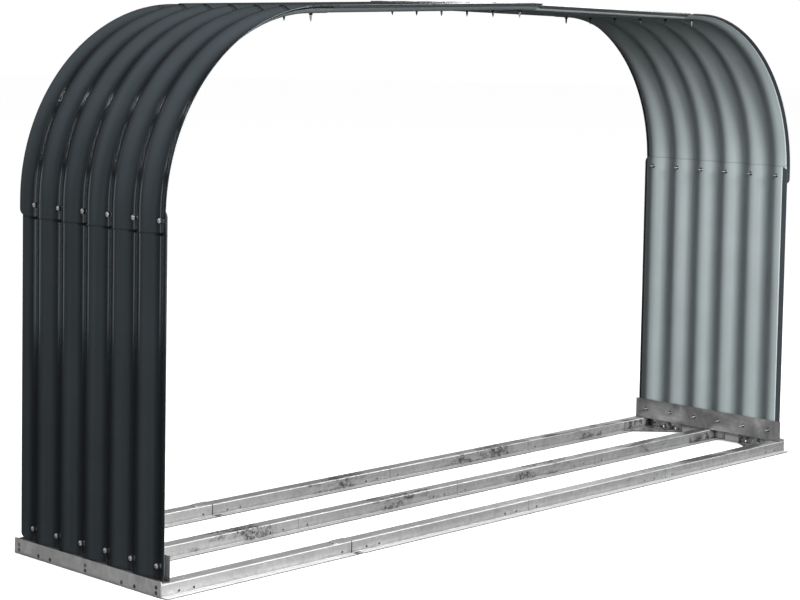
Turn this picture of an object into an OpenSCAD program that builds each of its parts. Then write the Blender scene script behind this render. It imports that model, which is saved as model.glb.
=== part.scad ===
// Corrugated steel log store: an open arch of lapped sheets on a galvanised base of spliced rails.
// Left and right are the same parts turned half a turn about the upright axis through the origin.
// Origin: middle of the base, on the ground. X runs along the store, Y to its back, Z up.

/* [Overall] */
// Length over the outer faces of the two end rails
store_w = 2000; // [1400:20:2600]
// Height to the crests of the roof at its middle seam
store_h = 1100; // [800:10:1400]

/* [Corrugated sheet] */
// Number of valleys across the sheet, which carry the screws
flutes = 6; // [4:1:8]
// Distance from crest to crest
flute_pitch = 76; // [60:1:100]
// Height of a crest above a valley
flute_depth = 15; // [8:0.5:20]
// Sheet thickness
sheet_t = 0.5; // [0.4:0.1:1]
// Inside radius of the two rounded corners, at the valleys
corner_r = 370; // [250:5:380]
// Slope of each half of the roof, in degrees
roof_slope = 1.26; // [0.8:0.02:3]
// Sheet beyond the last valley on the wider edge of a panel
wide_edge = 38; // [30:1:38]
// Sheet beyond the last valley on the narrower edge of a panel
narrow_edge = 25; // [20:1:30]
// Shift of the corner panels' edges toward the narrower edge of the other panels
corner_shift = 5; // [0:1:6]
// Width of the hem folded under the front and back edges
hem_w = 9; // [6:1:12]
// Radius on the corners of every sheet
sheet_corner_r = 14; // [8:1:16]
// Clearance between two lapped pieces
lap_gap = 0.3; // [0.2:0.05:0.5]

/* [Seams] */
// Lap of a corner panel over a side panel
side_lap = 44; // [36:2:60]
// Drop of the side seam's screws below the start of the curve
side_seam_drop = 10; // [5:1:30]
// Lap of a roof panel over a corner panel
roof_lap = 80; // [60:2:100]
// Straight tail of a corner panel beyond its curve
roof_tail = 46; // [40:2:60]
// Lap of the right roof panel over the left one
ridge_lap = 80; // [60:2:100]
// Diameter of the screw holes in the sheets and foot plates
screw_d = 5; // [4:0.5:6]

/* [Base] */
// Thickness of the galvanised strip
rail_t = 1; // [0.8:0.1:1.5]
// Height of a rail's web
rail_h = 24.5; // [20:0.5:32]
// Width of a rail's top flange
rail_flange = 29; // [22:1:36]
// Width of a rail's bottom lip
rail_lip = 16; // [12:1:20]
// Outer bend radius of the folded strip
bend_r = 2; // [1.6:0.1:3]
// Lap of two rail pieces at a splice
splice_lap = 50; // [40:2:60]
// Reach of the flange tongue that lies on the first front and back pieces
flange_tongue = 44; // [30:2:50]
// Height of an end rail's folded web above its shelf
end_fold_h = 5; // [4:0.5:16]
// Height of a foot plate
foot_plate_h = 50; // [42:1:60]
// Base beyond the outermost valleys, front and back
base_margin = 35; // [30:1:44]
// Length of a corner bracket along a long rail
bracket_reach = 106; // [90:2:130]
// Gap left in the middle of an end rail between its corner brackets
bracket_gap = 180; // [140:5:200]
// Diameter of the holes in rails, end rails and brackets
rail_hole_d = 5; // [4:0.5:6]

/* [Hidden] */
$fn = 32;

coat = "darkslategray";
zinc = "silver";

// Step along the corrugation, and the oversize of a cutting tool
flute_step = flute_pitch / 20;
over = 1;

// Inset of a stretch of sheet that ends inside the next one
weld = 0.02;

// Corrugation: the y of the last valley, and the sheet's rise above the valleys at any y
last_valley = (flutes - 1) * flute_pitch / 2;
valleys = [for (i = [0 : flutes - 1]) i * flute_pitch - last_valley];
edge_y0 = -last_valley - narrow_edge;
edge_y1 = last_valley + wide_edge;
corner_y0 = edge_y0 - corner_shift;
corner_y1 = edge_y1 - corner_shift;
function at_step(y) = round(y / flute_step) * flute_step;
function rise(y) = flute_depth * (1 - cos(360 * (y - last_valley) / flute_pitch)) / 2;

// Base: depth over the rails, inner faces of the end rails, and the levels of the stacked pieces
base_d = 2 * (last_valley + base_margin);
end_face = store_w / 2;
end_inner = end_face - rail_t;
rail_lift = rail_t + lap_gap;
rail_top = rail_lift + rail_h;
shelf_z = rail_top + lap_gap;
end_web_h = shelf_z + end_fold_h;
leg_z = shelf_z + rail_t + lap_gap;
sheet_z = leg_z + rail_t + lap_gap;
foot_plate_z = rail_top + lap_gap;

// Sheets: inner face of the valleys on the side panels, and the offset of each lapped layer
crest_clear = 3;
wall_x = end_inner - crest_clear - flute_depth - sheet_t;
layer = sheet_t + lap_gap;
curve_x = wall_x - corner_r;
sweep = 90 - roof_slope;

// Roof: both halves slope up to ridge_z, the inner face of the valleys at the middle
ridge_z = store_h - (flute_depth + sheet_t + 3 * layer) / cos(roof_slope);
spring_z = ridge_z - (corner_r + curve_x * sin(roof_slope)) / cos(roof_slope);
slope_l = curve_x * cos(roof_slope) + (ridge_z - spring_z) * sin(roof_slope);
side_seam_z = spring_z - side_seam_drop;
corner_low = side_seam_z - side_lap / 2;
side_top = side_seam_z + side_lap / 2;

// Roof stations, measured down the slope from the middle
tail_s = slope_l - roof_tail;
roof_seam_s = tail_s + roof_lap / 2;
roof_end_s = tail_s + roof_lap;
ridge_half = ridge_lap / 2;
hem_clear = 2;

// The right roof panel slopes a little more, to lie on the left one at the middle
over_slope = roof_slope + atan(layer / roof_seam_s);

// Foot plate: its inner face, with the valleys of the side panel seated on its outer face
foot_x = wall_x - lap_gap - rail_t;
foot_screw_z = foot_plate_z + foot_plate_h / 2;

// Rails: each long rail is four equal pieces
rail_end = end_inner - 1;
rail_pieces = 4;
piece_l = (2 * rail_end + (rail_pieces - 1) * splice_lap) / rail_pieces;
piece_pitch = piece_l - splice_lap;
joggle_l = 3;
splice_clear = 1;
tongue_chamfer = 9;
lip_notch = 18;
front_y = -base_d / 2;
back_y = base_d / 2 - rail_flange;
middle_y = -rail_flange / 2;
web_holes = [41, 77];
web_hole_z = 8;
flange_holes = [19, 64];

// Brackets sit inside the rails, clear of the bends
bracket_t = 1.2;
bracket_z = rail_lift + bend_r + lap_gap;
bracket_h = rail_top - bend_r - lap_gap - bracket_z;
end_holes = [bracket_gap / 2 + 20, bracket_gap / 2 + 58];
end_slot_y = base_d / 2 - 14;
pair_z = [8.5, 18.5];
cleat_l = 30;

// ---- Corrugated sheets ----

// Sheet section in plan between y0 and y1: x is outward, from n0 to n1 above the valley's inner face
module flute_section(y0, y1, n0, n1) {
    inner = [for (k = [ceil(y0 / flute_step + 0.01) : floor(y1 / flute_step - 0.01)]) k * flute_step];
    ys = concat([y0], inner, [y1]);
    last = len(ys) - 1;
    polygon(concat([for (y = ys) [rise(y) + n1, y]],
        [for (i = [last : -1 : 0]) [rise(ys[i]) + n0, ys[i]]]));
}

// Section of the hems of a sheet from y0 to y1, folded flat against its inner face
module hem_section(y0, y1, inset = 0) {
    edge = inset + weld;
    flute_section(y0 + edge, at_step(y0 + hem_w) - inset, inset - sheet_t, sheet_t / 2);
    flute_section(at_step(y1 - hem_w) + inset, y1 - edge, inset - sheet_t, sheet_t / 2);
}

// Sheet section. An inset one is that much smaller all round, so that it can end inside another.
module sheet_section(y0, y1, hemmed, inset = 0) {
    flute_section(y0 + inset, y1 - inset, inset, sheet_t - inset);
    if (hemmed) hem_section(y0, y1, inset);
}

// Cutting tool for a rounded sheet corner at [y, z], with the sheet toward [dy, dz]
module corner_cut(x, y, z, dy, dz) {
    depth = flute_depth + 4 * layer;
    reach = sheet_corner_r + over;
    translate([x - 2 * layer, y, z])
    rotate([90, 0, 90])
    linear_extrude(depth + 4 * layer)
    difference() {
        translate([dy > 0 ? -over : -sheet_corner_r, dz > 0 ? -over : -sheet_corner_r])
        square(reach);
        translate([dy * sheet_corner_r, dz * sheet_corner_r])
        circle(sheet_corner_r, $fn = 48);
    }
}

// Row of screw holes at the valleys, through a sheet that faces +X
module screw_row(x, z) {
    for (y = valleys)
        translate([x - 2 * layer, y, z])
        rotate([0, 90, 0])
        rotate(45)
        cylinder(d = screw_d, h = 6 * layer, $fn = 24);
}

// Upright stretch of sheet on the side wall, its valleys' inner face at x
module wall_sheet(x, z0, z1) {
    translate([x, 0, z0])
    linear_extrude(z1 - z0)
    children();
}

// Bends a section to radius r about the axis at [x, z], from angle a0 up to a1
module swept(x, z, r, a0, a1, steps) {
    translate([x, 0, z])
    rotate([90, -a0, 0])
    rotate_extrude(angle = a1 - a0, $fn = steps)
    mirror([0, 1])
    translate([r, 0])
    children();
}

// Bends a section round the corner, from angle a0 above the wall to the start of the roof
module corner_sweep(a0) {
    swept(curve_x, spring_z, corner_r + layer, a0, sweep, 180)
    children();
}

// Frame of a roof slope: +X is outward, and s0 down to s1 run along -Z from the middle
module at_slope(slope) {
    translate([0, 0, ridge_z])
    rotate([0, slope - 90, 0])
    children();
}

module slope_sheet(n, s0, s1, hemmed) {
    translate([n * layer, 0, -s1])
    linear_extrude(s1 - s0)
    sheet_section(edge_y0, edge_y1, hemmed);
}

// Cuts what lies past the middle of the roof
module right_half() {
    difference() {
        children();
        translate([-2 * roof_lap, -2 * last_valley, ridge_z - 2 * flute_depth])
        cube([2 * roof_lap, 4 * last_valley, 6 * flute_depth]);
    }
}

// Frame at the end of the corner's curve: +X is outward, +Z runs along the roof to the middle
module at_tail(s) {
    translate([curve_x, 0, spring_z])
    rotate([0, -sweep, 0])
    translate([corner_r, 0, s])
    children();
}

module side_panel() {
    color(coat)
    difference() {
        wall_sheet(wall_x, sheet_z, side_top) sheet_section(edge_y0, edge_y1, true);
        corner_cut(wall_x, edge_y0, sheet_z, 1, 1);
        corner_cut(wall_x, edge_y1, sheet_z, -1, 1);
        corner_cut(wall_x, edge_y0, side_top, 1, -1);
        corner_cut(wall_x, edge_y1, side_top, -1, -1);
        screw_row(wall_x, foot_screw_z);
        screw_row(wall_x, side_seam_z);
    }
}

module corner_panel() {
    hem_start = asin((side_top + hem_clear - spring_z) / corner_r);
    color(coat)
    difference() {
        union() {
            wall_sheet(wall_x + layer, corner_low, spring_z) sheet_section(corner_y0, corner_y1, false);
            corner_sweep(0) sheet_section(corner_y0, corner_y1, false);
            corner_sweep(hem_start) hem_section(corner_y0, corner_y1);
            at_tail(-over) translate([layer, 0, 0])
            linear_extrude(roof_tail + over) sheet_section(corner_y0, corner_y1, true, weld);
        }
        corner_cut(wall_x + layer, corner_y0, corner_low, 1, 1);
        corner_cut(wall_x + layer, corner_y1, corner_low, -1, 1);
        screw_row(wall_x + layer, side_seam_z);
        at_tail(roof_tail) {
            corner_cut(layer, corner_y0, 0, 1, -1);
            corner_cut(layer, corner_y1, 0, -1, -1);
        }
        at_tail(roof_tail - roof_lap / 2) screw_row(layer, 0);
    }
}

// Roof panel of the right half, in layer n at the middle. Where it lies on top, its hems stop
// short of the lap.
module roof_panel(n, slope, on_top) {
    hem_s = on_top ? ridge_half + hem_clear : -ridge_half;
    color(coat)
    difference() {
        union() {
            right_half() at_slope(slope) {
                if (on_top) slope_sheet(n, -ridge_half, hem_s, false);
                slope_sheet(n, hem_s, tail_s - hem_clear, true);
                slope_sheet(n, tail_s - hem_clear, roof_end_s, false);
            }
            mirror([1, 0, 0])
            right_half() at_slope(slope) slope_sheet(n, -ridge_half, ridge_half, !on_top);
        }
        mirror([1, 0, 0]) at_slope(slope) {
            corner_cut(n * layer, edge_y0, -ridge_half, 1, 1);
            corner_cut(n * layer, edge_y1, -ridge_half, -1, 1);
        }
        at_slope(0) screw_row(n * layer, 0);
        at_slope(slope) {
            screw_row(2 * layer, -roof_seam_s);
            corner_cut(2 * layer, edge_y0, -roof_end_s, 1, 1);
            corner_cut(2 * layer, edge_y1, -roof_end_s, -1, 1);
        }
    }
}

module turned() {
    rotate([0, 0, 180]) children();
}

// ---- Galvanised base ----

// Quarter ring of the strip, its bend centre at [0, 0], in the quadrant toward [qx, qy]
module bend(qx, qy) {
    intersection() {
        difference() {
            circle(bend_r);
            circle(bend_r - rail_t);
        }
        translate([qx > 0 ? 0 : -bend_r, qy > 0 ? 0 : -bend_r])
        square(bend_r);
    }
}

// Rail section: x runs to the back from the web's front face, y up from the lip's underside
module rail_section() {
    translate([0, bend_r]) square([rail_t, rail_h - 2 * bend_r]);
    translate([bend_r, rail_h - bend_r]) bend(-1, 1);
    translate([bend_r, rail_h - rail_t]) square([rail_flange - bend_r, rail_t]);
    translate([rail_t - bend_r, bend_r]) bend(1, -1);
    translate([-rail_lip, 0]) square([rail_lip + rail_t - bend_r, rail_t]);
}

// Rail along X from x0 to x1, its web's front face at y and its lip's underside at z
module rail_run(x0, x1, y, z) {
    translate([x0, y, z])
    rotate([90, 0, 90])
    linear_extrude(x1 - x0)
    rail_section();
}

module web_hole(x, y, z) {
    translate([x, y - over, z])
    rotate([-90, 0, 0])
    cylinder(d = rail_hole_d, h = 3 * rail_lift + 2 * over, $fn = 24);
}

module flange_hole(x, y) {
    translate([x, y + rail_flange / 2, rail_top - 3 * rail_t])
    cylinder(d = rail_hole_d, h = 6 * rail_t, $fn = 24);
}

// Flat tongue of the flange, from the start of a piece at x back over the neighbour's flange
module flange_plate(x, y) {
    y0 = y + bend_r;
    y1 = y + rail_flange;
    translate([0, 0, rail_top + lap_gap])
    linear_extrude(rail_t)
    polygon([[x + joggle_l, y0], [x + joggle_l, y1], [x + tongue_chamfer - flange_tongue, y1],
        [x - flange_tongue, y1 - tongue_chamfer], [x - flange_tongue, y0 + tongue_chamfer / 2],
        [x + tongue_chamfer - flange_tongue, y0]]);
    translate([x, y0, rail_top - rail_t / 2])
    cube([joggle_l, rail_flange - bend_r, rail_t + lap_gap]);
}

// Swaged tongue that runs on under the next piece, with the joggle that joins it to this one
module tongue(x0, x1, joggle_x, y) {
    rail_run(x0, x1, y + rail_lift, 0);
    for (i = [0 : 2])
        rail_run(joggle_x, joggle_x + joggle_l, y + i * rail_lift / 2, rail_lift - i * rail_lift / 2);
}

// Piece k of a long rail. A tongue at either end runs under the neighbour there. With flat_tongue,
// the flange also reaches back over the neighbour on the left, and the lip is cut back there.
module rail_piece(k, y, left_tongue, right_tongue, flat_tongue = false) {
    x0 = -rail_end + k * piece_pitch;
    x1 = x0 + piece_l;
    body_x0 = left_tongue ? x0 + splice_lap + splice_clear : x0;
    body_x1 = right_tongue ? x1 - splice_lap - splice_clear : x1;
    color(zinc)
    difference() {
        union() {
            rail_run(body_x0, body_x1, y, rail_lift);
            if (left_tongue) tongue(x0, body_x0 + joggle_l, body_x0, y);
            if (right_tongue) tongue(body_x1 - joggle_l, x1, body_x1 - joggle_l, y);
            if (flat_tongue) flange_plate(x0, y);
        }
        if (flat_tongue) {
            flange_hole(x0 + splice_lap - flange_holes[1], y);
            translate([x0 - over, y - rail_lip - over, rail_lift - over])
            cube([lip_notch + over, rail_lip, rail_t + 2 * over]);
        }
        for (h = web_holes) {
            web_hole(left_tongue && h < splice_lap ? x0 + splice_lap - h : x0 + h, y, web_hole_z);
            web_hole(right_tongue && h < splice_lap ? x1 - splice_lap + h : x1 - h, y, web_hole_z);
        }
        for (h = flange_holes) {
            flange_hole(left_tongue && h < splice_lap ? x0 + splice_lap - h : x0 + h, y);
            flange_hole(right_tongue && h < splice_lap ? x1 - splice_lap + h : x1 - h, y);
        }
    }
}

// End rail: outer web folded down on itself, then in to a shelf that rests on the long rails
module end_rail() {
    color(zinc)
    difference() {
        translate([0, base_d / 2, 0])
        rotate([90, 0, 0])
        linear_extrude(base_d)
        union() {
            translate([end_inner, 0]) square([rail_t, end_web_h]);
            translate([end_inner - rail_t, shelf_z]) square([rail_t, end_web_h - shelf_z]);
            translate([foot_x + rail_t + lap_gap, shelf_z])
            square([end_inner - foot_x - rail_t - lap_gap, rail_t]);
        }
        for (side = [-1, 1]) {
            for (y = end_holes) end_hole(side * y, web_hole_z);
            for (z = pair_z) end_hole(side * end_slot_y, z);
        }
        for (z = pair_z) end_hole(0, z);
    }
}

module end_hole(y, z) {
    translate([end_inner - over, y, z])
    rotate([0, 90, 0])
    cylinder(d = rail_hole_d, h = rail_t + 2 * over, $fn = 24);
}

// Foot plate: an angle whose leg lies on the shelf under the side panel
module foot_plate() {
    color(zinc)
    difference() {
        translate([0, base_d / 2, 0])
        rotate([90, 0, 0])
        linear_extrude(base_d)
        union() {
            translate([foot_x, foot_plate_z]) square([rail_t, foot_plate_h]);
            translate([foot_x, leg_z]) square([end_inner - rail_t - lap_gap - foot_x, rail_t]);
        }
        screw_row(foot_x, foot_screw_z);
    }
}

// Corner bracket: a floor with a diagonal edge, and two upright flanges bolted to rail and end rail.
// Its corner is at [0, 0]; x runs in along the long rail and y along the end rail.
module corner_bracket(reach_x, reach_y, holes_x, holes_y) {
    difference() {
        union() {
            linear_extrude(bracket_t)
            polygon([[0, 0], [reach_x, 0], [reach_x, bend_r], [bend_r, reach_y], [0, reach_y]]);
            cube([reach_x, bracket_t, bracket_h]);
            cube([bracket_t, reach_y, bracket_h]);
        }
        for (x = holes_x)
            translate([x, -over, web_hole_z - bracket_z])
            rotate([-90, 0, 0])
            cylinder(d = rail_hole_d, h = bracket_t + 2 * over, $fn = 24);
        for (y = holes_y)
            translate([-over, y, web_hole_z - bracket_z])
            rotate([0, 90, 0])
            cylinder(d = rail_hole_d, h = bracket_t + 2 * over, $fn = 24);
    }
}

bracket_x = end_inner - lap_gap;
front_bracket_y = front_y + rail_t + rail_lift + lap_gap;
back_bracket_y = back_y - lap_gap;

module front_bracket() {
    reach = -front_bracket_y - bracket_gap / 2;
    color(zinc)
    translate([bracket_x, front_bracket_y, bracket_z])
    mirror([1, 0, 0])
    corner_bracket(bracket_reach, reach,
        [for (h = web_holes) bracket_x - rail_end + h], [for (y = end_holes) -front_bracket_y - y]);
}

module back_bracket() {
    reach = back_bracket_y - bracket_gap / 2;
    color(zinc)
    translate([bracket_x, back_bracket_y, bracket_z])
    rotate([0, 0, 180])
    corner_bracket(bracket_reach, reach,
        [for (h = web_holes) bracket_x - rail_end + h], [for (y = end_holes) back_bracket_y - y]);
}

// Small cleat that ties the middle rail's end to the end rail
module middle_cleat(y) {
    cleat_y = y - lap_gap - bracket_t;
    color(zinc)
    difference() {
        union() {
            translate([bracket_x - bracket_reach, cleat_y, bracket_z])
            cube([bracket_reach, bracket_t, bracket_h]);
            translate([bracket_x - bracket_t, cleat_y - cleat_l, bracket_z])
            cube([bracket_t, cleat_l + bracket_t, bracket_h]);
        }
        for (h = web_holes) web_hole(rail_end - h, cleat_y, web_hole_z);
    }
}

turned() side_panel();  // left_side_panel
side_panel();  // right_side_panel
turned() corner_panel();  // left_corner_panel
corner_panel();  // right_corner_panel
turned() roof_panel(2, roof_slope, false);  // left_roof_panel
roof_panel(3, over_slope, true);  // right_roof_panel
turned() end_rail();  // left_end_rail
end_rail();  // right_end_rail
turned() foot_plate();  // left_foot_plate
foot_plate();  // right_foot_plate
rail_piece(0, front_y, false, true);  // front_rail_1
rail_piece(1, front_y, false, false, true);  // front_rail_2
rail_piece(2, front_y, true, false);  // front_rail_3
rail_piece(3, front_y, true, false);  // front_rail_4
rail_piece(0, middle_y, false, false);  // middle_rail_1
rail_piece(1, middle_y, true, false);  // middle_rail_2
rail_piece(2, middle_y, true, false);  // middle_rail_3
rail_piece(3, middle_y, true, false);  // middle_rail_4
rail_piece(0, back_y, false, true);  // back_rail_1
rail_piece(1, back_y, false, false, true);  // back_rail_2
rail_piece(2, back_y, true, false);  // back_rail_3
rail_piece(3, back_y, true, false);  // back_rail_4
mirror([1, 0, 0]) front_bracket();  // front_left_bracket
front_bracket();  // front_right_bracket
mirror([1, 0, 0]) back_bracket();  // back_left_bracket
back_bracket();  // back_right_bracket
mirror([1, 0, 0]) middle_cleat(middle_y);  // left_middle_cleat
middle_cleat(middle_y);  // right_middle_cleat
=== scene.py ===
import math

import bpy
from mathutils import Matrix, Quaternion, Vector


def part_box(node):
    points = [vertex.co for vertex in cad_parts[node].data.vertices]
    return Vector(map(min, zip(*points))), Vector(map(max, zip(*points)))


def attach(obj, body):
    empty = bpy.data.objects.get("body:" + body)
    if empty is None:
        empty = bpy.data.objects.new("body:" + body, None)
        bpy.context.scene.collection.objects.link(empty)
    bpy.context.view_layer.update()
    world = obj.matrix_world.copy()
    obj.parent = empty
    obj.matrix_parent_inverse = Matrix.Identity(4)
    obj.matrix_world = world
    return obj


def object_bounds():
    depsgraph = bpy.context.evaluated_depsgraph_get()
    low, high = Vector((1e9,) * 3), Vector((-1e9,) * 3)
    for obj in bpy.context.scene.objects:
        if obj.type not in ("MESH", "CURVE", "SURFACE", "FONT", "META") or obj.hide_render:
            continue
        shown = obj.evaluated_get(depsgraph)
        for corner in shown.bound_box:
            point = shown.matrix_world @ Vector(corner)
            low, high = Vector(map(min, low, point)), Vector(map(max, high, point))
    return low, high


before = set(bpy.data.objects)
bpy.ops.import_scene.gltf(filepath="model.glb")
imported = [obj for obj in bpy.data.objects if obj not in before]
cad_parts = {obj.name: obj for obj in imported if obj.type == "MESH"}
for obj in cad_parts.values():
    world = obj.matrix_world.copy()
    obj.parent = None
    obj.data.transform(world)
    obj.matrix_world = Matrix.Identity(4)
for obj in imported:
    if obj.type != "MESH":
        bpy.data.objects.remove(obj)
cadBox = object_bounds()
print("frame loaded:", len(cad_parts), "nodes")

# Every length is in metres, every angle in degrees.
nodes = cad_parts
sheetNodes = [name for name in nodes if name.endswith("_panel")]
plateNodes = [name for name in nodes if name.endswith("_foot_plate")]
endNodes = [name for name in nodes if name.endswith("_end_rail")]
bracketNodes = [name for name in nodes if name.endswith(("_bracket", "_cleat"))]
railNodes = [name for name in nodes if "_rail_" in name]

# The corrugated sheet, as the frame has it
sheet = dict(
    flutes=6,
    pitch=0.076,        # crest to crest
    depth=0.015,        # crest above valley
    thickness=0.0005,
    cornerRadius=0.370,
    wideEdge=0.038,     # from the last valley to the wider edge
    hem=0.009,          # folded edge, its end set on a step of the corrugation
    steps=20,           # steps in one corrugation
)


def deg(angle):
    return math.radians(angle)


# Levels and faces that several pieces share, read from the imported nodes
sideLow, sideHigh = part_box("right_side_panel")
cornerLow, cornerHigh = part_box("right_corner_panel")
roofLow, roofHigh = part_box("right_roof_panel")
plateLow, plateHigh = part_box("right_foot_plate")
wallX = sideLow.x
curveX = wallX - sheet["cornerRadius"]
seamZ = (cornerLow.z + sideHigh.z) / 2
lapGap = (cornerHigh.x - sideHigh.x) - sheet["thickness"]
slope = math.atan2(roofHigh.z - sheet["depth"] - sheet["thickness"] - roofLow.z, roofHigh.x)
springZ = (roofLow.z + (roofHigh.x - curveX) * math.tan(slope)
           - sheet["cornerRadius"] - sheet["thickness"] - lapGap)
lastValley = sideHigh.y - sheet["wideEdge"]


# Shader and geometry trees: one call adds a node, sets its properties and fills or links its inputs
def fillSocket(tree, socket, value):
    if isinstance(value, bpy.types.NodeSocket):
        tree.links.new(value, socket)
    else:
        socket.default_value = value


def addNode(tree, kind, inputs=None, **settings):
    node = tree.nodes.new(kind)
    for key, value in settings.items():
        setattr(node, key, value)
    for key, value in (inputs or {}).items():
        fillSocket(tree, node.inputs[key], value)
    return node


def mathNode(tree, operation, a, b=0.0):
    return addNode(tree, "ShaderNodeMath", {0: a, 1: b}, operation=operation).outputs[0]


def times(tree, a, b):
    return mathNode(tree, "MULTIPLY", a, b)


def larger(tree, a, b):
    return mathNode(tree, "MAXIMUM", a, b)


def smaller(tree, a, b):
    return mathNode(tree, "MINIMUM", a, b)


def inverse(tree, value):
    return mathNode(tree, "SUBTRACT", 1.0, value)


def rangeNode(tree, value, low, high, toLow=0.0, toHigh=1.0):
    node = addNode(tree, "ShaderNodeMapRange",
                   {"Value": value, "From Min": low, "From Max": high, "To Min": toLow, "To Max": toHigh})
    return node.outputs["Result"]


def mixColour(tree, factor, a, b):
    node = tree.nodes.new("ShaderNodeMix")
    node.data_type = "RGBA"
    for index, value in ((0, factor), (6, a), (7, b)):
        fillSocket(tree, node.inputs[index], value)
    return node.outputs[2]


def noiseNode(tree, vector, scale, detail=3.0, roughness=0.55, distortion=0.0):
    node = addNode(tree, "ShaderNodeTexNoise", {
        "Vector": vector, "Scale": scale, "Detail": detail,
        "Roughness": roughness, "Distortion": distortion})
    return node.outputs["Fac"]


def stretch(tree, vector, scale, turn=(0, 0, 0)):
    node = addNode(tree, "ShaderNodeMapping", {
        "Vector": vector, "Scale": scale, "Rotation": tuple(deg(t) for t in turn)})
    return node.outputs["Vector"]


def bumpNode(tree, height, distance, normal=None):
    inputs = {"Height": height, "Distance": distance, "Strength": 1.0}
    if normal is not None:
        inputs["Normal"] = normal
    return addNode(tree, "ShaderNodeBump", inputs).outputs["Normal"]


def newMaterial(name):
    material = bpy.data.materials.new(name)
    material.use_nodes = True
    tree = material.node_tree
    tree.nodes.clear()
    out = tree.nodes.new("ShaderNodeOutputMaterial")
    shader = tree.nodes.new("ShaderNodeBsdfPrincipled")
    tree.links.new(shader.outputs[0], out.inputs["Surface"])
    coords = tree.nodes.new("ShaderNodeTexCoord")
    return material, tree, shader, coords


def dress(names, material):
    for name in names:
        mesh = nodes[name].data
        mesh.materials.clear()
        mesh.materials.append(material)


# Coated sheet: a dark slate coat outside, a pale blue-grey backing coat inside. A pair named From holds the
# two values between which something sets in.
sheetFinish = dict(
    outside=(0.051, 0.061, 0.068, 1),
    outsideDark=(0.042, 0.051, 0.057, 1),
    inside=(0.345, 0.395, 0.402, 1),
    insideDark=(0.300, 0.345, 0.352, 1),
    backingTint=1.0,
    outFrom=(0.05, 0.10),     # how squarely a face looks outwards
    toneScale=7.0,
    streakScale=(1.5, 160, 1.5),
    toneFrom=(0.38, 0.62),
    edge=(0.16, 0.17, 0.18, 1),
    edgeUnder=0.4,
    rim=(0.62, 0.66, 0.67, 1),
    rimWide=0.0022,           # painted highlight: bright line beside the front hem
    crease=(0.0055, 0.0095),  # painted shade of the fold beside the hem, from and to
    creaseDark=0.0,
    dust=(0.20, 0.20, 0.19, 1),
    dustAmount=0.03,
    dustScale=45.0,
    dustFrom=(0.45, 0.75),
    dustBelow=0.5,            # height under which it grows thicker, and what is left above
    dustAbove=0.35,
    # colour of the painted shade along laps and folds
    grime=(0.008, 0.010, 0.012, 1),
    grimeWide=0.0026,         # painted shade: dark line against the edge of a lapping sheet
    grimeArch=0.0100,         # the same at the roof panels
    grimeValley=0.0055,       # and in the valleys under the corner panels
    grimeValleyMore=1.5,
    valleyFrom=(0.35, 0.65),
    grimeOut=0.60,            # how dark the painted shade is outside and inside
    grimeIn=0.28,
    crevice=0.010,            # reach of the painted shade in narrow gaps, and what it leaves of the colour
    creviceLeft=0.50,
    wear=0.012,               # how far the roughness varies
    wearFrom=(0.3, 0.7),
    gloss=0.16,               # roughness of the outside coat
    matt=0.52,                # roughness of the backing coat
    grainSize=0.0011,         # the coat's fine grain
    grainDepth=0.000004,
    peelSize=0.009,           # slow waves left by rolling
    peelDepth=0.000004,
)

# The roof panels: the right one shows its narrow edge in front, the left one its wide edge
# painted light on the right roof panel: a lighter backing and a wide painted highlight beside its hem
rightRoof = dict(sheetFinish, rim=(0.98, 1.0, 1.0, 1), rimWide=0.012, backingTint=1.35)
# painted shade in the fold beside the left roof panel's hem
leftRoof = dict(sheetFinish, creaseDark=0.70)
sheetFinishes = {"right_roof_panel": rightRoof, "left_roof_panel": leftRoof}


def bandNode(tree, value, low, high):
    # 1 between low and high, 0 elsewhere
    return times(tree, mathNode(tree, "GREATER_THAN", value, low),
                 mathNode(tree, "LESS_THAN", value, high))


def gapShadeNode(tree, reach, left):
    # painted shade: 1 on open faces, down to left in narrow gaps
    node = addNode(tree, "ShaderNodeAmbientOcclusion", {"Distance": reach}, samples=6, only_local=False)
    return rangeNode(tree, node.outputs["AO"], 0.25, 0.80, left, 1.0)


def facingNode(tree, coords, x, z):
    # how squarely a face looks in the direction x, 0, z
    away = addNode(tree, "ShaderNodeCombineXYZ", {0: x, 2: z})
    unit = addNode(tree, "ShaderNodeVectorMath", {0: away.outputs[0]}, operation="NORMALIZE")
    both = {0: unit.outputs[0], 1: coords.outputs["Normal"]}
    return addNode(tree, "ShaderNodeVectorMath", both, operation="DOT_PRODUCT").outputs["Value"]


def scaleColour(tree, colour, amount):
    return addNode(tree, "ShaderNodeVectorMath", {0: colour, "Scale": amount}, operation="SCALE").outputs[0]


def outwardNode(tree, coords, x, z):
    # how squarely a face looks away from the nearest point of the box that the arch is bent around
    coreX = larger(tree, smaller(tree, x, curveX), -curveX)
    coreZ = smaller(tree, z, springZ)
    return facingNode(tree, coords, mathNode(tree, "SUBTRACT", x, coreX),
                      mathNode(tree, "SUBTRACT", z, coreZ))


def sheetDust(tree, point, z, finish):
    # a little dust, thicker low down
    dust = noiseNode(tree, point, finish["dustScale"], detail=6.0, roughness=0.65)
    dust = rangeNode(tree, dust, *finish["dustFrom"])
    low = rangeNode(tree, z, finish["dustBelow"], 0.0, finish["dustAbove"], 1.0)
    return times(tree, times(tree, dust, low), finish["dustAmount"])


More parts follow.
